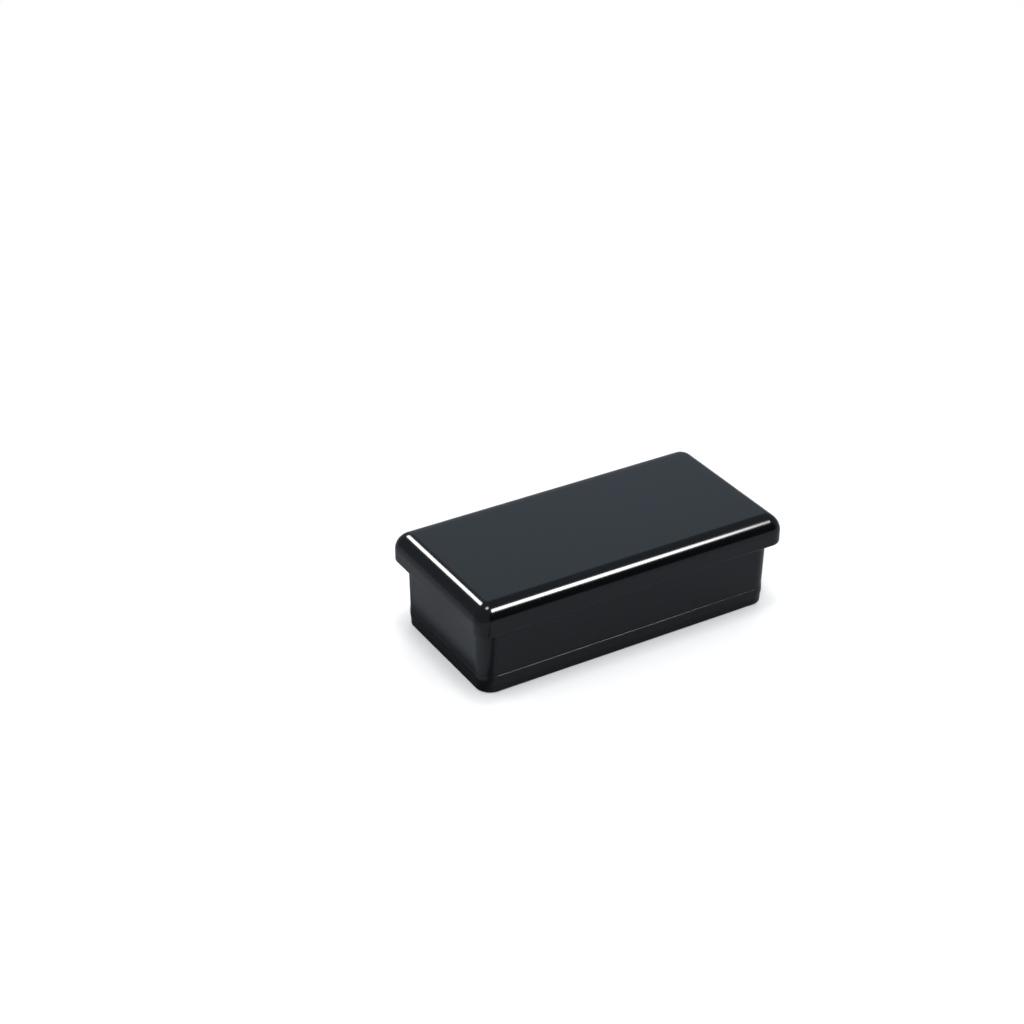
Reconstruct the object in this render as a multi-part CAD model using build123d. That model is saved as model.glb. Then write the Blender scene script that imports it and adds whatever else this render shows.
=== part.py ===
"""Profile end cap for rectangular tube: one moulding, 60 x 30 mm across the head.

The cap plugs the open end of a rectangular hollow section. A thick head covers the
end of the tube, and a hollow, drafted skirt goes down inside the bore. Here the cap
stands on the rim of its skirt, head up: +X runs along the long side, +Z points out
of the tube, and the origin is the centre of the rim plane.
"""

from build123d import *
import math
import os

# Hollow section that the cap closes (mm)
tube_length = 60.0
tube_width = 30.0
tube_wall = 1.5

# Head: its plan is the outside of the tube
head_height = 5.2
head_corner_radius = 2.5
head_top_round = 3.0
head_seat_round = 0.4

# Skirt: the hollow plug that fills the bore
skirt_depth = 12.2
skirt_draft = 1.3
skirt_corner_radius = 3.0
skirt_root_round = 0.3
rim_wall = 1.6
rim_outer_round = 0.35
rim_inner_round = 0.2

# Grip bead: a low ridge with two shallow flanks, which presses on the bore
bead_above_rim = 2.3
bead_height = 0.13
bead_width = 2.0
bead_crest_round = 3.0

# Hollow: open at the rim, closed by the face of the head
face_thickness = 2.5
core_draft = 0.5
core_end_round = 1.0

# Derived sizes
overall_height = skirt_depth + head_height
bore_length = tube_length - 2 * tube_wall
bore_width = tube_width - 2 * tube_wall
hollow_depth = overall_height - face_thickness


def skirt_inset(height):
    """How far the drafted skirt has drawn in, per side, at a height above the rim."""
    return (skirt_depth - height) * math.tan(math.radians(skirt_draft))


def make_head():
    """Head: the tube's plan, with a large round over its top and a small one below."""
    plan = Pos(0, 0, skirt_depth) * RectangleRounded(tube_length, tube_width, head_corner_radius)
    head = extrude(plan, head_height)
    head = fillet(head.faces().sort_by(Axis.Z)[-1].edges(), head_top_round)
    return fillet(head.faces().sort_by(Axis.Z)[0].edges(), head_seat_round)


def make_plug():
    """Skirt before it is hollowed: it draws in by its draft from the head to the rim."""
    downwards = Plane(origin=(0, 0, skirt_depth), z_dir=(0, 0, -1))
    root = downwards * RectangleRounded(bore_length, bore_width, skirt_corner_radius)
    plug = extrude(root, skirt_depth, taper=skirt_draft)
    return fillet(plug.faces().sort_by(Axis.Z)[0].edges(), rim_outer_round)


def make_flank(z_dir, lean):
    """Half of the bead: from its crest it leans in until it is buried in the skirt."""
    inset = skirt_inset(bead_above_rim) - bead_height
    level = Plane(origin=(0, 0, bead_above_rim), z_dir=z_dir)
    crest = level * RectangleRounded(
        bore_length - 2 * inset,
        bore_width - 2 * inset,
        skirt_corner_radius - inset,
    )
    return extrude(crest, bead_width, taper=lean)


def make_bead():
    """Grip bead: two flanks, equally steep against the drafted wall, and a soft crest."""
    steepness = math.degrees(math.atan(2 * bead_height / bead_width))
    upper = make_flank((0, 0, 1), steepness - skirt_draft)
    lower = make_flank((0, 0, -1), steepness + skirt_draft)
    bead = upper + lower
    crest = bead.edges().filter_by_position(Axis.Z, bead_above_rim, bead_above_rim)
    return fillet(crest, bead_crest_round)


def make_core():
    """Hollow: it opens a little towards the rim, so that the moulding leaves its core."""
    inset = skirt_inset(0) + rim_wall
    mouth = RectangleRounded(
        bore_length - 2 * inset,
        bore_width - 2 * inset,
        skirt_corner_radius - rim_wall,
    )
    core = extrude(mouth, hollow_depth, taper=core_draft)
    return fillet(core.faces().sort_by(Axis.Z)[-1].edges(), core_end_round)


def make_end_cap():
    """The whole moulding, with the skirt's root and the mouth of the hollow rounded last."""
    cap = make_head() + make_plug() + make_bead()
    seat = cap.faces().filter_by(Axis.Z).sort_by(Axis.Z)[1]
    cap = fillet(seat.inner_wires()[0].edges(), skirt_root_round)
    cap = cap - make_core()
    rim = cap.faces().sort_by(Axis.Z)[0]
    return fillet(rim.inner_wires()[0].edges(), rim_inner_round)


os.makedirs("parts", exist_ok=True)
end_cap = make_end_cap()
end_cap.label = "end_cap"
export_step(end_cap, "parts/end_cap.step")
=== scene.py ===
import math
from collections import namedtuple

import bmesh
import bpy
from mathutils import Euler, Matrix, Vector


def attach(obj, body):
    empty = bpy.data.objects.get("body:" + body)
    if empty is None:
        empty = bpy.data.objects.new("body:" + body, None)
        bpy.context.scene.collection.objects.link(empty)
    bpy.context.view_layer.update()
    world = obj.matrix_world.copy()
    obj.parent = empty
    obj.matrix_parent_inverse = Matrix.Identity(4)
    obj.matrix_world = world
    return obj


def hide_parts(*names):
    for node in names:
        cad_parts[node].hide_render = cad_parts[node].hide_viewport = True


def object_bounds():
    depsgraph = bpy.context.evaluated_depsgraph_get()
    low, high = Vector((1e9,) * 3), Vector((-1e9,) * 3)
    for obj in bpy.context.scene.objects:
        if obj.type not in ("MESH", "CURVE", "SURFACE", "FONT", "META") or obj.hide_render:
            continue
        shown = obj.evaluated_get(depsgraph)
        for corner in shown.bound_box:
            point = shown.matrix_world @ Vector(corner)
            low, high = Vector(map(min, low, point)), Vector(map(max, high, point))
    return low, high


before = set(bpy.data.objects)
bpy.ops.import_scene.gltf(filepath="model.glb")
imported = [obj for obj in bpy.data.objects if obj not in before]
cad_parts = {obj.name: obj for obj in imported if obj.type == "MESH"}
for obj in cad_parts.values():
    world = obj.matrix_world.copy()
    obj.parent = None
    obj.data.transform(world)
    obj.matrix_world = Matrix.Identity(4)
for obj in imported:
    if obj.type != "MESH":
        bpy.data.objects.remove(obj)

bl_info = {
    "name": "Tube End Cap",
    "version": (1, 0, 0),
    "blender": (4, 5, 0),
    "location": "3D View > Sidebar > End Cap",
    "description": "Models, finishes and lights a moulded end cap for rectangular tube",
    "category": "Add Mesh",
}

CAD_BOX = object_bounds()
CAD_LOW, CAD_HIGH = CAD_BOX
MM = 0.001
CORNERS = ((1, 1), (-1, 1), (-1, -1), (1, -1))

# One loop round the cap: how far it lies inside the head's plan, its height above
# the rim, its corner radius, and whether the core side of the mould forms it
Loop = namedtuple("Loop", "inset height radius core")


# ---------------------------------------------------------------- settings


def length_setting(name, description, default):
    """A length in metres that the panel shows in the scene's units."""
    return bpy.props.FloatProperty(
        name=name, description=description, default=default, unit="LENGTH", precision=5
    )


def angle_setting(name, description, degrees):
    """An angle, given here in degrees."""
    return bpy.props.FloatProperty(
        name=name, description=description, default=math.radians(degrees), subtype="ANGLE"
    )


def factor_setting(name, description, default):
    """A share from 0 to 1."""
    return bpy.props.FloatProperty(
        name=name, description=description, default=default, min=0.0, max=1.0, subtype="FACTOR"
    )


def colour_setting(name, description, default):
    """A colour in linear light."""
    return bpy.props.FloatVectorProperty(
        name=name, description=description, default=default, size=3, min=0, max=1, subtype="COLOR"
    )


class CapSizes(bpy.types.PropertyGroup):
    """Sizes of the end cap"""

    length: length_setting(
        "Length", "Long side of the head", CAD_HIGH.x - CAD_LOW.x
    )
    width: length_setting(
        "Width", "Short side of the head", CAD_HIGH.y - CAD_LOW.y
    )
    height: length_setting(
        "Height", "From the rim of the skirt to the outer face", CAD_HIGH.z - CAD_LOW.z
    )
    head_height: length_setting(
        "Head Height", "Thickness of the head above the end of the tube", 5.2 * MM
    )
    corner_radius: length_setting(
        "Corner Radius", "Radius of the head's corners in plan", 2.5 * MM
    )
    face_radius: length_setting(
        "Face Corner Radius", "Corner radius left where the top round meets the face", 0.35 * MM
    )
    top_round: length_setting(
        "Top Round", "Radius along the outer edges of the head", 3.0 * MM
    )
    seat_round: length_setting(
        "Seat Round", "Radius along the lower edge of the head", 0.4 * MM
    )
    overhang: length_setting(
        "Overhang", "How far the head stands out past the skirt", 1.5 * MM
    )
    skirt_radius: length_setting(
        "Skirt Corner Radius", "Radius of the skirt's corners under the head", 3.0 * MM
    )
    skirt_draft: angle_setting(
        "Skirt Draft", "Lean of the skirt's outer walls", 1.3
    )
    root_round: length_setting(
        "Root Round", "Fillet between the skirt and the underside of the head", 0.3 * MM
    )
    bead_place: length_setting(
        "Bead Place", "Height of the grip bead's crest above the rim", 2.3 * MM
    )
    bead_height: length_setting(
        "Bead Height", "How far the flanks of the bead rise from the skirt", 0.13 * MM
    )
    bead_width: length_setting(
        "Bead Width", "Width of the grip bead along the skirt's height", 2.0 * MM
    )
    bead_crest: length_setting(
        "Bead Crest", "Radius that softens the crest of the bead", 3.0 * MM
    )
    bead_ledge: length_setting(
        "Bead Ledge", "Height of the small step at the top of the bead", 0.05 * MM
    )
    bead_edge: length_setting(
        "Bead Edge", "Radius of that step's edge", 0.028 * MM
    )
    ledge_lean: angle_setting(
        "Ledge Lean", "How far the face of that step leans from the skirt's wall", 60
    )
    rim_wall: length_setting(
        "Rim Wall", "Thickness of the skirt's wall at the rim", 1.6 * MM
    )
    rim_outer: length_setting(
        "Rim Outer Round", "Radius along the outer edge of the rim", 0.35 * MM
    )
    rim_inner: length_setting(
        "Rim Inner Round", "Radius along the mouth of the hollow", 0.2 * MM
    )
    face_thickness: length_setting(
        "Face Thickness", "Plastic between the hollow and the outer face", 2.5 * MM
    )
    core_draft: angle_setting(
        "Core Draft", "Lean of the walls of the hollow", 0.5
    )
    core_round: length_setting(
        "Core Round", "Radius between the walls and the ceiling of the hollow", 1.0 * MM
    )
    steps: bpy.props.IntProperty(
        name="Steps", description="Facets in a quarter turn of a large round", default=20, min=4
    )


class CapFinish(bpy.types.PropertyGroup):
    """Colours and surface of the plastic"""

    plastic: colour_setting(
        "Plastic", "Colour of the moulded plastic", (0.0030, 0.0033, 0.0037)
    )
    scuffed: colour_setting(
        "Scuffed", "Colour where handling has dulled the plastic", (0.0058, 0.0063, 0.0069)
    )
    gloss: factor_setting(
        "Gloss Roughness", "Roughness of the polished outside", 0.13
    )
    core_gloss: factor_setting(
        "Core Roughness", "Roughness of the hollow, on the duller side of the mould", 0.34
    )
    scuff_amount: factor_setting(
        "Scuff Amount", "How much roughness the scuffs add", 0.10
    )
    ripple: length_setting(
        "Ripple", "Height of the faint unevenness in the moulded surface", 0.004 * MM
    )


class StudioSettings(bpy.types.PropertyGroup):
    """Camera, floor and surroundings"""

    camera_place: bpy.props.FloatVectorProperty(
        name="Camera Place",
        description="Where the camera stands",
        default=(-0.172646, -0.259325, 0.203199),
        size=3,
        subtype="TRANSLATION",
    )
    camera_look: bpy.props.FloatVectorProperty(
        name="Camera Look",
        description="Direction in which the camera looks",
        default=(0.446854, 0.736108, -0.508396),
        size=3,
        subtype="XYZ",
    )
    camera_roll: angle_setting(
        "Camera Roll", "Turn of the camera about its line of sight", 0.48
    )
    lens: bpy.props.FloatProperty(
        name="Lens",
        description="Focal length of the camera on a 36 mm sensor",
        default=76.03,
        unit="CAMERA",
    )
    backdrop: colour_setting(
        "Backdrop", "Tone of the paper behind the cap, as its gloss mirrors it", (0.475, 0.56, 0.66)
    )
    room: colour_setting(
        "Room", "Tone of the room round the table", (0.20, 0.23, 0.26)
    )
    sky: colour_setting(
        "Sky", "Even light of the tent over the table", (0.94, 0.95, 0.97)
    )
    flag: colour_setting(
        "Flag", "Tone of the black flag beside the camera", (0.012, 0.012, 0.013)
    )
    horizon: colour_setting(
        "Horizon", "Tone of the room just above the table", (0.26, 0.28, 0.31)
    )
    floor: colour_setting(
        "Floor", "Tone of the table, as the cap's gloss mirrors it", (0.285, 0.30, 0.33)
    )
    # Painted light: a pale pool painted on the table beside the cap's end; the cap's gloss mirrors
    # it as a painted reflection on the end wall
    painted_light_patch: colour_setting(
        "Card", "Tone of the pale card beside the cap's end", (0.38, 0.41, 0.455)
    )
    # Painted shadow: a dark strip painted on the table close to the cap's end, as its contact
    # shadow; the cap's gloss mirrors it as painted shade low on the end wall
    painted_contact_shadow: colour_setting(
        "Contact", "Tone of the table close to the cap's end", (0.10, 0.105, 0.12)
    )
    paper: colour_setting(
        "Paper", "Colour of the table to the eye", (0.90, 0.90, 0.905)
    )
    lift: factor_setting("Lift", "Glow that keeps the table white to the eye", 0.09)


def sizes():
    return bpy.context.scene.cap_sizes


def finish():
    return bpy.context.scene.cap_finish


def studio():
    return bpy.context.scene.cap_studio


# ---------------------------------------------------------------- profile


def turn(first, last, steps):
    """Angles from the first to the last, both included."""
    return [first + (last - first) * i / steps for i in range(steps + 1)]


def quarter(steps):
    """Angles from 0 to 90 degrees, both included."""
    return turn(0.0, math.pi / 2, steps)


def skirt_loop(size, height, proud=0.0):
    """Loop on the drafted outside of the skirt, or a little proud of it on the bead."""
    seat = size.height - size.head_height
    drawn_in = (seat - height) * math.tan(size.skirt_draft) - proud
    return Loop(size.overhang + drawn_in, height, size.skirt_radius - drawn_in, False)


def head_loops(size):
    """From the flat face over the top round, down the side and under to the skirt."""
    top, seat = size.height, size.height - size.head_height
    big, small, root = size.top_round, size.seat_round, size.root_round
    shrink = (size.corner_radius - size.face_radius) / big
    loops = []
    for a in quarter(size.steps):
        inset = big * (1 - math.sin(a))
        height = top - big * (1 - math.cos(a))
        loops.append(Loop(inset, height, size.corner_radius - shrink * inset, False))
    for a in quarter(size.steps // 3):
        inset = small * (1 - math.cos(a))
        height = seat + small * (1 - math.sin(a))
        loops.append(Loop(inset, height, size.corner_radius - inset, False))
    for a in quarter(size.steps // 3):
        inset = size.overhang - root * (1 - math.sin(a))
        height = seat - root * (1 - math.cos(a))
        loops.append(Loop(inset, height, size.skirt_radius + size.overhang - inset, False))
    return loops


def bead_loops(size):
    """The bead from the top down: a small step, a soft crest and the lower flank."""
    half, crest = size.bead_width / 2, size.bead_crest
    edge, ledge, steep = size.bead_edge, size.bead_ledge, size.ledge_lean
    top = size.bead_place + half
    slope = math.atan(size.bead_height / half)
    peak = size.bead_height - crest * (1 / math.cos(slope) - 1)
    # Lean at which the crest's upper flank runs down to the top of the ledge
    upper = math.sqrt((half / crest) ** 2 + 2 * (peak - ledge) / crest) - half / crest
    foot = (ledge - edge * (1 - math.cos(steep))) / math.tan(steep)
    loops = [skirt_loop(size, top - edge * (1 - math.sin(steep)) + foot)]
    for lean in turn(steep, upper, size.steps // 3):
        proud = ledge - edge * (1 - math.cos(lean))
        loops.append(skirt_loop(size, top - edge * (1 - math.sin(lean)), proud))
    for lean in turn(upper, -slope, size.steps // 3):
        proud = peak - crest * (1 - math.cos(lean))
        loops.append(skirt_loop(size, size.bead_place + crest * math.sin(lean), proud))
    loops.append(skirt_loop(size, size.bead_place - half))
    return loops


def rim_loops(size):
    """Outer round, flat and inner round of the rim that the cap stands on."""
    foot = skirt_loop(size, 0.0)
    loops = []
    for a in quarter(size.steps // 3):
        inset = foot.inset + size.rim_outer * (1 - math.cos(a))
        height = size.rim_outer * (1 - math.sin(a))
        loops.append(Loop(inset, height, foot.radius + foot.inset - inset, False))
    for a in quarter(size.steps // 4):
        inset = foot.inset + size.rim_wall - size.rim_inner * (1 - math.sin(a))
        height = size.rim_inner * (1 - math.cos(a))
        loops.append(Loop(inset, height, foot.radius + foot.inset - inset, True))
    return loops


def core_loops(size):
    """The drafted wall of the hollow and the round into its ceiling."""
    foot = skirt_loop(size, 0.0)
    ceiling = size.height - size.face_thickness
    loops = []
    for a in quarter(size.steps // 2):
        height = ceiling - size.core_round * (1 - math.sin(a))
        lean = height * math.tan(size.core_draft)
        inset = foot.inset + size.rim_wall + lean + size.core_round * (1 - math.cos(a))
        radius = max(foot.radius + foot.inset - inset, size.face_radius)
        loops.append(Loop(inset, height, radius, True))
    return loops


def cap_profile(size):
    """Every loop of the cap, from the flat face of the head to the ceiling inside."""
    return head_loops(size) + bead_loops(size) + rim_loops(size) + core_loops(size)


# ---------------------------------------------------------------- mesh


def corner_centre(size, loop, corner):
    """Centre of one corner of a loop, in plan."""
    reach = loop.inset + loop.radius
    along = corner[0] * (size.length / 2 - reach)
    across = corner[1] * (size.width / 2 - reach)
    return Vector((along, across, 0.0))


def start_face(bm, size, loop):
    """The flat face of the head: a rectangle with its four corners rounded."""
    bmesh.ops.create_grid(bm, x_segments=1, y_segments=1, size=0.5)
    span = (size.length - 2 * loop.inset, size.width - 2 * loop.inset, 1.0)
    bmesh.ops.scale(bm, vec=span, verts=bm.verts)
    bmesh.ops.translate(bm, vec=(0, 0, loop.height), verts=bm.verts)
    bmesh.ops.bevel(
        bm,
        geom=list(bm.verts),
        offset=loop.radius,
        segments=size.steps,
        profile=0.5,
        affect="VERTICES",
        material=-1,
    )
    return list(bm.edges)


def next_loop(bm, size, edges, old, new):
    """Extrude a loop, then size each corner of the new loop and set it in place."""
    made = bmesh.ops.extrude_edge_only(bm, edges=edges)["geom"]
    verts = [g for g in made if isinstance(g, bmesh.types.BMVert)]
    grow = new.radius / old.radius
    rise = Vector((0, 0, new.height - old.height))
    for corner in CORNERS:
        part = [v for v in verts if v.co.x * corner[0] > 0 and v.co.y * corner[1] > 0]
        before = corner_centre(size, old, corner)
        after = corner_centre(size, new, corner)
        space = Matrix.Translation(-before)
        bmesh.ops.scale(bm, vec=(grow, grow, 1.0), space=space, verts=part)
        bmesh.ops.translate(bm, vec=after - before + rise, verts=part)
    return [g for g in made if isinstance(g, bmesh.types.BMEdge)]


def model_cap(size):
    """The whole moulding as one closed mesh."""
    bm = bmesh.new()
    core_side = bm.verts.layers.float.new("core_side")
    profile = cap_profile(size)
    edges = start_face(bm, size, profile[0])
    for old, new in zip(profile, profile[1:]):
        edges = next_loop(bm, size, edges, old, new)
        for vert in {v for e in edges for v in e.verts}:
            vert[core_side] = float(new.core)
    bmesh.ops.edgeloop_fill(bm, edges=edges)
    bmesh.ops.recalc_face_normals(bm, faces=bm.faces)
    for face in bm.faces:
        face.smooth = True
    mesh = bpy.data.meshes.new("end_cap_moulding")
    bm.to_mesh(mesh)
    bm.free()
    return mesh


# ---------------------------------------------------------------- shading


def new_group(name, inputs, outputs):
    """An empty shader node group with the given float sockets."""
    group = bpy.data.node_groups.new(name, "ShaderNodeTree")
    for label, value in inputs:
        socket = group.interface.new_socket(label, in_out="INPUT", socket_type="NodeSocketFloat")
        socket.default_value = value
    for label in outputs:
        group.interface.new_socket(label, in_out="OUTPUT", socket_type="NodeSocketFloat")
    return group


def add(tree, kind, **settings):
    """A node, with its settings and the values of its sockets."""
    node = tree.nodes.new(kind)
    for key, value in settings.items():
        if hasattr(node, key):
            setattr(node, key, value)
        else:
            node.inputs[key].default_value = value
    return node


def calculate(tree, operation, first, second):
    """A Math node fed by sockets or plain numbers."""
    node = tree.nodes.new("ShaderNodeMath")
    node.operation = operation
    for socket, value in zip(node.inputs, (first, second)):
        if isinstance(value, bpy.types.NodeSocket):
            tree.links.new(value, socket)
        else:
            socket.default_value = value
    return node.outputs[0]


def smooth_step(tree, value, span):
    """0 below the span, 1 above it, and a soft step across it."""
    node = add(tree, "ShaderNodeMapRange", interpolation_type="SMOOTHSTEP")
    node.inputs["From Min"].default_value, node.inputs["From Max"].default_value = span
    tree.links.new(value, node.inputs["Value"])
    return node.outputs["Result"]


def mix_colours(tree, factor, first, second):
    """From the first colour at 0 to the second at 1. A colour may be a socket."""
    node = add(tree, "ShaderNodeMix", data_type="RGBA")
    tree.links.new(factor, node.inputs["Factor"])
    ends = [socket for socket in node.inputs if socket.type == "RGBA"]
    for socket, value in zip(ends, (first, second)):
        if isinstance(value, bpy.types.NodeSocket):
            tree.links.new(value, socket)
        else:
            socket.default_value = (*value, 1)
    return next(socket for socket in node.outputs if socket.type == "RGBA")


def mix_shaders(tree, factor, first, second):
    """From the first shader node at 0 to the second at 1."""
    mix = add(tree, "ShaderNodeMixShader")
    tree.links.new(factor, mix.inputs[0])
    tree.links.new(first.outputs[0], mix.inputs[1])
    tree.links.new(second.outputs[0], mix.inputs[2])
    return mix


def split_by_ray(tree, seen, mirrored):
    """The first shader for what the camera sees itself, the second for all other rays."""
    camera = add(tree, "ShaderNodeLightPath").outputs["Is Camera Ray"]
    return mix_shaders(tree, camera, mirrored, seen)


def apart(tree, place, centre):
    """Distance of a place from a centre."""
    node = add(tree, "ShaderNodeVectorMath", operation="DISTANCE")
    node.inputs[1].default_value = centre
    tree.links.new(place, node.inputs[0])
    return node.outputs["Value"]


# Hair scuffs: turn in degrees, waves per metre along and across the hair
SCUFF_SETS = ((18, 60, 5200), (-41, 80, 6400), (73, 55, 4300))
SCUFF_TILT = (0.35, 0.20)  # turn of every set about X and Y, in radians
SCUFF_DEPTH = 0.3  # waves into the plastic, as a share of those across the hair
SCUFF_EDGE = (0.62, 0.74)  # noise values between which a hair fades in
PATCH_WAVES = 140.0  # patches per metre
PATCH_EDGE = (0.0, 0.23)  # noise above the spread, over which a patch fades in
SCUFF_SPREAD = 0.45

SLOW_WAVES = 110.0  # per metre
PEEL_WAVES = 1300.0  # per metre
PEEL_SHARE = 0.12  # height of the orange peel, as a share of the slow waves

PLASTIC_IOR = 1.5


def scuff_group():
    """Hair-fine handling scuffs in three directions, gathered in patches."""
    group = new_group("Handling Scuffs", [("Spread", SCUFF_SPREAD)], ["Mask"])
    start = add(group, "NodeGroupInput")
    end = add(group, "NodeGroupOutput")
    place = add(group, "ShaderNodeTexCoord").outputs["Object"]
    total = 0.0
    for angle, along, across in SCUFF_SETS:
        mapping = add(group, "ShaderNodeMapping")
        mapping.inputs["Rotation"].default_value = Euler((*SCUFF_TILT, math.radians(angle)))
        mapping.inputs["Scale"].default_value = (along, across, across * SCUFF_DEPTH)
        group.links.new(place, mapping.inputs["Vector"])
        noise = add(group, "ShaderNodeTexNoise", Scale=1.0, Detail=2.0)
        group.links.new(mapping.outputs["Vector"], noise.inputs["Vector"])
        hairs = smooth_step(group, noise.outputs["Fac"], SCUFF_EDGE)
        total = calculate(group, "ADD", hairs, total)
    patches = add(group, "ShaderNodeTexNoise", Scale=PATCH_WAVES, Detail=3.0, Roughness=0.6)
    group.links.new(place, patches.inputs["Vector"])
    gathered = calculate(group, "SUBTRACT", patches.outputs["Fac"], start.outputs["Spread"])
    mask = calculate(group, "MULTIPLY", total, smooth_step(group, gathered, PATCH_EDGE))
    group.links.new(calculate(group, "MINIMUM", mask, 1.0), end.inputs["Mask"])
    return group


def ripple_group():
    """The moulded surface's faint unevenness: slow waves and fine orange peel."""
    group = new_group("Moulded Ripple", [("Peel", PEEL_SHARE)], ["Height"])
    start = add(group, "NodeGroupInput")
    end = add(group, "NodeGroupOutput")
    place = add(group, "ShaderNodeTexCoord").outputs["Object"]
    slow = add(group, "ShaderNodeTexNoise", Scale=SLOW_WAVES, Detail=1.0, Roughness=0.4)
    fine = add(group, "ShaderNodeTexNoise", Scale=PEEL_WAVES, Detail=2.0, Roughness=0.5)
    group.links.new(place, slow.inputs["Vector"])
    group.links.new(place, fine.inputs["Vector"])
    peel = calculate(group, "MULTIPLY", fine.outputs["Fac"], start.outputs["Peel"])
    height = calculate(group, "ADD", slow.outputs["Fac"], peel)
    group.links.new(height, end.inputs["Height"])
    return group


def place_group(tree, group, output):
    """A node group placed in a material, and one of its outputs."""
    return add(tree, "ShaderNodeGroup", node_tree=group).outputs[output]


def plastic_material(look):
    """Deep black gloss plastic: polished outside, duller on the core side."""
    material = bpy.data.materials.new("cap_plastic")
    material.use_nodes = True
    tree = material.node_tree
    shader = tree.nodes["Principled BSDF"]
    shader.inputs["IOR"].default_value = PLASTIC_IOR
    scuffs = place_group(tree, scuff_group(), "Mask")
    ripple = place_group(tree, ripple_group(), "Height")
    colour = mix_colours(tree, scuffs, look.plastic, look.scuffed)
    tree.links.new(colour, shader.inputs["Base Color"])
    core = add(tree, "ShaderNodeAttribute", attribute_name="core_side").outputs["Fac"]
    dull = calculate(tree, "MULTIPLY", core, look.core_gloss - look.gloss)
    worn = calculate(tree, "MULTIPLY", scuffs, look.scuff_amount)
    rough = calculate(tree, "ADD", calculate(tree, "ADD", dull, worn), look.gloss)
    tree.links.new(rough, shader.inputs["Roughness"])
    bump = add(tree, "ShaderNodeBump", Strength=1.0, Distance=look.ripple)
    tree.links.new(ripple, bump.inputs["Height"])
    tree.links.new(bump.outputs["Normal"], shader.inputs["Normal"])
    return material


# ---------------------------------------------------------------- stage


# On the table: middle, inner and outer radius of a painted pool of light beside the cap's end,
# which only the cap's gloss shows, as a painted reflection on its end wall
LIGHT_PATCH_PLACE = (-0.042, -0.006, 0.0)
LIGHT_PATCH_RADII = (0.006, 0.023)
# Where x is the painted contact shadow, a dark strip close to that end, and how far from its middle
# it fades
PAINTED_SHADOW_X = -0.0295
PAINTED_SHADOW_FADE = (0.0008, 0.0034)
# Radii between which the table turns from lit paper into plain white, to the eye
WHITE_RADII = (0.07, 0.20)
FLOOR_GAP = 0.00002  # keeps the table clear of the rim
FLOOR_REACH = 6.0

# Directions from the cap to the middle of the backdrop and of the black flag, and
# the cosines of the cones within which each fades in
BACKDROP_SIDE = (0.45, 0.80, 0.40)
BACKDROP_FADE = (0.93, 1.0)
FLAG_SIDE = (0.45, -0.82, 0.36)
FLAG_FADE = (0.80, 0.91)
HORIZON_FADE = (-0.03, 0.06)  # how high a direction rises where the room fades in

# Lights: name, place, size along and across, power in watts, whether the gloss shows
# it, and whether it lights the table and the plastic's own colour
LIGHTS = (
    ("key_box", (0.262, -0.257, 0.489), (0.25, 0.25), 3.2, True, False),
    ("edge_box", (-0.061, 0.440, 0.421), (0.19, 0.19), 1.6, True, False),
    ("overhead_box", (0.0, 0.0, 0.70), (0.24, 0.24), 1.3, True, True),
    ("front_fill", (-0.35, -0.50, 0.30), (0.40, 0.40), 1.5, False, True),
    ("back_fill", (0.40, 0.50, 0.30), (0.40, 0.40), 0.8, False, True),
)
LIGHT_AIM = Vector((0.0, 0.0, 0.012))
SOFT_EDGE = (0.0, 0.32)  # from a lamp's edge inward, as a share of its size
SOFT_GAIN = 2.2  # makes up for what a lamp loses by its soft edges


def spot(tree, centre, radii):
    """On the table: 1 inside the inner radius round a point, 0 past the outer one."""
    inner, outer = radii
    place = add(tree, "ShaderNodeTexCoord").outputs["Object"]
    inside = calculate(tree, "SUBTRACT", outer, apart(tree, place, centre))
    return smooth_step(tree, inside, (0.0, outer - inner))


def table_to_the_eye(tree, look):
    """Lit paper with the cap's shadow, which turns into plain white further out."""
    paper = add(tree, "ShaderNodeBsdfDiffuse", Color=(*look.paper, 1))
    lift = add(tree, "ShaderNodeEmission", Color=(1, 1, 1, 1), Strength=look.lift)
    near = add(tree, "ShaderNodeAddShader")
    tree.links.new(paper.outputs[0], near.inputs[0])
    tree.links.new(lift.outputs[0], near.inputs[1])
    far = add(tree, "ShaderNodeEmission", Color=(1, 1, 1, 1), Strength=1.0)
    return mix_shaders(tree, spot(tree, (0.0, 0.0, 0.0), WHITE_RADII), far, near)


def table_in_the_gloss(tree, look):
    """Grey, with a painted pool of light beside the cap's end and a painted contact shadow, a dark
    strip, close to it. Only the gloss sees this table, so both come out as painted reflections on
    the cap.
    """
    # Painted light: a pale pool on the table beside the cap's end, seen only in the cap's gloss
    tone = mix_colours(tree, spot(tree, LIGHT_PATCH_PLACE, LIGHT_PATCH_RADII), look.floor, look.painted_light_patch)
    split = add(tree, "ShaderNodeSeparateXYZ")
    tree.links.new(add(tree, "ShaderNodeTexCoord").outputs["Object"], split.inputs[0])
    # Painted contact shadow: darkens the table in a strip close to the cap's end, on top of the
    # lamps' own shadow
    aside = calculate(tree, "SUBTRACT", split.outputs["X"], PAINTED_SHADOW_X)
    clear = smooth_step(tree, calculate(tree, "ABSOLUTE", aside, 0.0), PAINTED_SHADOW_FADE)
    grey = add(tree, "ShaderNodeBsdfDiffuse")
    tree.links.new(mix_colours(tree, clear, look.painted_contact_shadow, tone), grey.inputs["Color"])
    return grey


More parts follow.
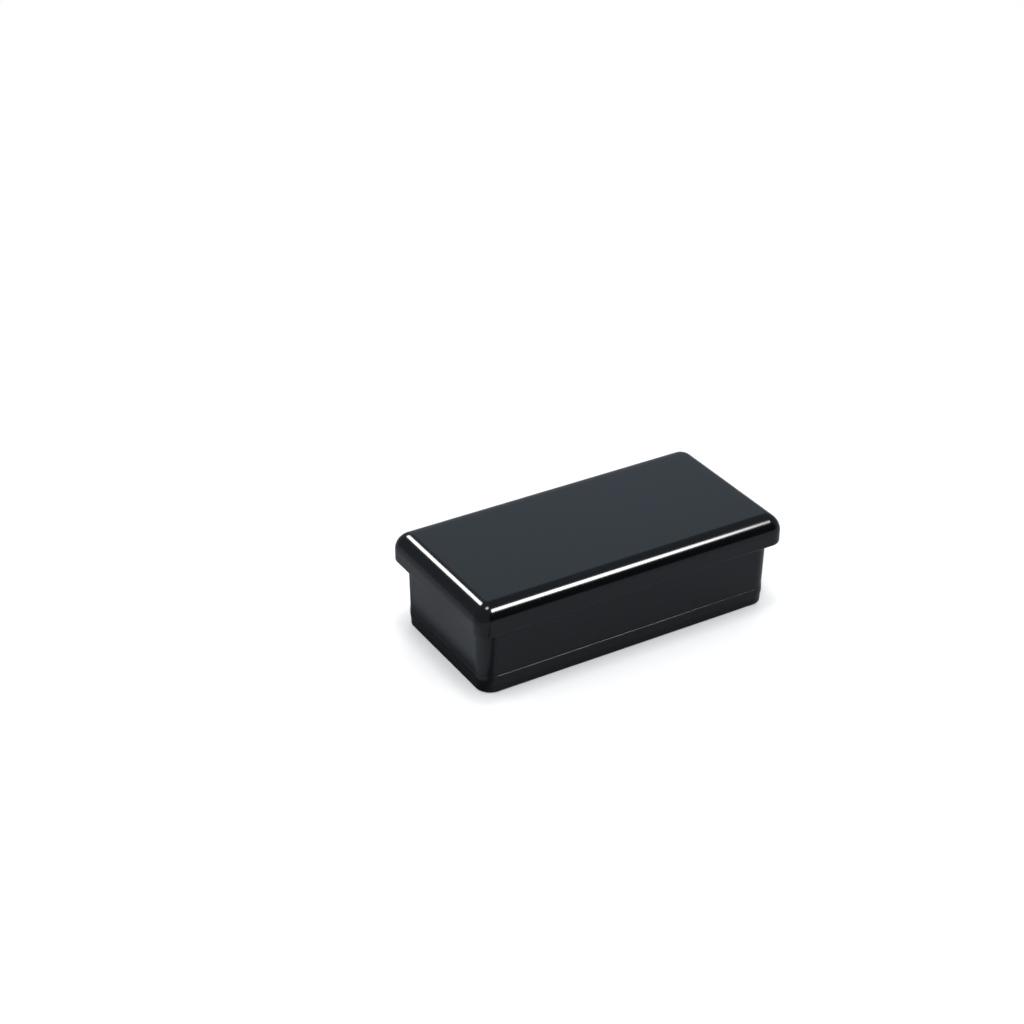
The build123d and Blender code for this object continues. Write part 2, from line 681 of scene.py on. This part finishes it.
def floor_material(look):
    """The table top, which can be seen through from below."""
    material = bpy.data.materials.new("studio_floor")
    material.use_nodes = True
    tree = material.node_tree
    tree.nodes.remove(tree.nodes["Principled BSDF"])
    top = split_by_ray(tree, table_to_the_eye(tree, look), table_in_the_gloss(tree, look))
    below = add(tree, "ShaderNodeNewGeometry").outputs["Backfacing"]
    table = mix_shaders(tree, below, top, add(tree, "ShaderNodeBsdfTransparent"))
    tree.links.new(table.outputs[0], tree.nodes["Material Output"].inputs["Surface"])
    return material


def lobe(tree, direction, centre, fade):
    """1 within a cone round a direction of the sky, 0 outside a wider one."""
    toward = add(tree, "ShaderNodeVectorMath", operation="DOT_PRODUCT")
    toward.inputs[1].default_value = Vector(centre).normalized()
    tree.links.new(direction, toward.inputs[0])
    return smooth_step(tree, toward.outputs["Value"], fade)


def room_in_the_gloss(tree, look):
    """A pale backdrop, a room and a black flag above a plain horizon."""
    direction = add(tree, "ShaderNodeTexCoord").outputs["Generated"]
    split = add(tree, "ShaderNodeSeparateXYZ")
    tree.links.new(direction, split.inputs[0])
    paper = lobe(tree, direction, BACKDROP_SIDE, BACKDROP_FADE)
    flag = lobe(tree, direction, FLAG_SIDE, FLAG_FADE)
    above = smooth_step(tree, split.outputs["Z"], HORIZON_FADE)
    tone = mix_colours(tree, paper, look.room, look.backdrop)
    tone = mix_colours(tree, flag, tone, look.flag)
    tone = mix_colours(tree, above, look.horizon, tone)
    room = add(tree, "ShaderNodeBackground")
    tree.links.new(tone, room.inputs["Color"])
    return room


def make_world(look):
    """White to the eye, an even sky for the table, and a room in the cap's gloss."""
    world = bpy.data.worlds.new("studio_world")
    bpy.context.scene.world = world
    world.use_nodes = True
    tree = world.node_tree
    tree.nodes.remove(tree.nodes["Background"])
    white = add(tree, "ShaderNodeBackground", Color=(1, 1, 1, 1), Strength=1.0)
    sky = add(tree, "ShaderNodeBackground", Color=(*look.sky, 1), Strength=1.0)
    diffuse = add(tree, "ShaderNodeLightPath").outputs["Is Diffuse Ray"]
    around = mix_shaders(tree, diffuse, room_in_the_gloss(tree, look), sky)
    surface = split_by_ray(tree, white, around).outputs[0]
    tree.links.new(surface, tree.nodes["World Output"].inputs["Surface"])


def soften_edges(light):
    """Let a lamp fade from its middle toward its edges, as the gloss shows it."""
    light.use_nodes = True
    tree = light.node_tree
    across = add(tree, "ShaderNodeNewGeometry").outputs["Parametric"]
    inward = calculate(tree, "SUBTRACT", 0.5, apart(tree, across, (0.5, 0.5, 0.0)))
    glow = calculate(tree, "MULTIPLY", smooth_step(tree, inward, SOFT_EDGE), SOFT_GAIN)
    tree.links.new(glow, tree.nodes["Emission"].inputs["Strength"])


def hang_light(scene, name, place, span, power, in_gloss, on_table):
    """A soft square lamp that faces the cap."""
    light = bpy.data.lights.new(name, "AREA")
    light.shape = "RECTANGLE"
    light.size, light.size_y = span
    light.energy = power
    if in_gloss:
        soften_edges(light)
    lamp = bpy.data.objects.new(name, light)
    lamp.location = place
    lamp.rotation_euler = (LIGHT_AIM - lamp.location).to_track_quat("-Z", "Y").to_euler()
    lamp.visible_glossy = in_gloss
    lamp.visible_diffuse = on_table
    scene.collection.objects.link(lamp)


def lay_floor(scene, look):
    """A plain table top that reaches far past the camera's view."""
    bm = bmesh.new()
    bmesh.ops.create_grid(bm, x_segments=1, y_segments=1, size=FLOOR_REACH)
    mesh = bpy.data.meshes.new("studio_floor")
    bm.to_mesh(mesh)
    bm.free()
    floor = bpy.data.objects.new("studio_floor", mesh)
    floor.location.z = -FLOOR_GAP
    scene.collection.objects.link(floor)
    mesh.materials.append(floor_material(look))


def set_camera(scene, look):
    """The camera that the scene is seen through."""
    camera = bpy.data.cameras.new("studio_camera")
    camera.sensor_width = 36.0
    camera.lens = look.lens
    camera.clip_start = 0.01
    eye = bpy.data.objects.new("studio_camera", camera)
    gaze = Vector(look.camera_look).to_track_quat("-Z", "Y").to_matrix().to_4x4()
    roll = Matrix.Rotation(look.camera_roll, 4, "Z")
    eye.matrix_world = Matrix.Translation(look.camera_place) @ gaze @ roll
    scene.collection.objects.link(eye)
    scene.camera = eye


# ---------------------------------------------------------------- operators


class CAP_OT_model(bpy.types.Operator):
    """Model the moulding and put it in place of the plain solid"""

    bl_idname = "cap.model"
    bl_label = "Model End Cap"
    bl_options = {"REGISTER", "UNDO"}

    def execute(self, context):
        cap = bpy.data.objects.new("end_cap_moulding", model_cap(sizes()))
        context.scene.collection.objects.link(cap)
        cap.modifiers.new("Even Shading", "WEIGHTED_NORMAL")
        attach(cap, "root")
        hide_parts("end_cap")
        return {"FINISHED"}


class CAP_OT_finish(bpy.types.Operator):
    """Give the moulding its glossy black plastic"""

    bl_idname = "cap.finish"
    bl_label = "Finish Plastic"
    bl_options = {"REGISTER", "UNDO"}

    def execute(self, context):
        cap = context.scene.objects["end_cap_moulding"]
        cap.data.materials.append(plastic_material(finish()))
        return {"FINISHED"}


class CAP_OT_stage(bpy.types.Operator):
    """Set up the table, the lights, the surroundings and the camera"""

    bl_idname = "cap.stage"
    bl_label = "Set Stage"
    bl_options = {"REGISTER", "UNDO"}

    def execute(self, context):
        scene = context.scene
        look = studio()
        scene.view_settings.view_transform = "Standard"
        lay_floor(scene, look)
        make_world(look)
        for light in LIGHTS:
            hang_light(scene, *light)
        set_camera(scene, look)
        return {"FINISHED"}


class CAP_PT_panel(bpy.types.Panel):
    """The end cap's operators and settings"""

    bl_idname = "CAP_PT_panel"
    bl_label = "Tube End Cap"
    bl_space_type = "VIEW_3D"
    bl_region_type = "UI"
    bl_category = "End Cap"

    def draw(self, context):
        for operator in (CAP_OT_model, CAP_OT_finish, CAP_OT_stage):
            self.layout.operator(operator.bl_idname)
        for group in (sizes(), finish(), studio()):
            column = self.layout.column()
            for key in type(group).__annotations__:
                column.prop(group, key)


CLASSES = (
    CapSizes,
    CapFinish,
    StudioSettings,
    CAP_OT_model,
    CAP_OT_finish,
    CAP_OT_stage,
    CAP_PT_panel,
)


def register():
    for cls in CLASSES:
        bpy.utils.register_class(cls)
    bpy.types.Scene.cap_sizes = bpy.props.PointerProperty(type=CapSizes)
    bpy.types.Scene.cap_finish = bpy.props.PointerProperty(type=CapFinish)
    bpy.types.Scene.cap_studio = bpy.props.PointerProperty(type=StudioSettings)


def unregister():
    del bpy.types.Scene.cap_studio
    del bpy.types.Scene.cap_finish
    del bpy.types.Scene.cap_sizes
    for cls in reversed(CLASSES):
        bpy.utils.unregister_class(cls)


def main():
    register()
    bpy.ops.cap.model()
    bpy.ops.cap.finish()
    bpy.ops.cap.stage()


if __name__ == "__main__":
    main()
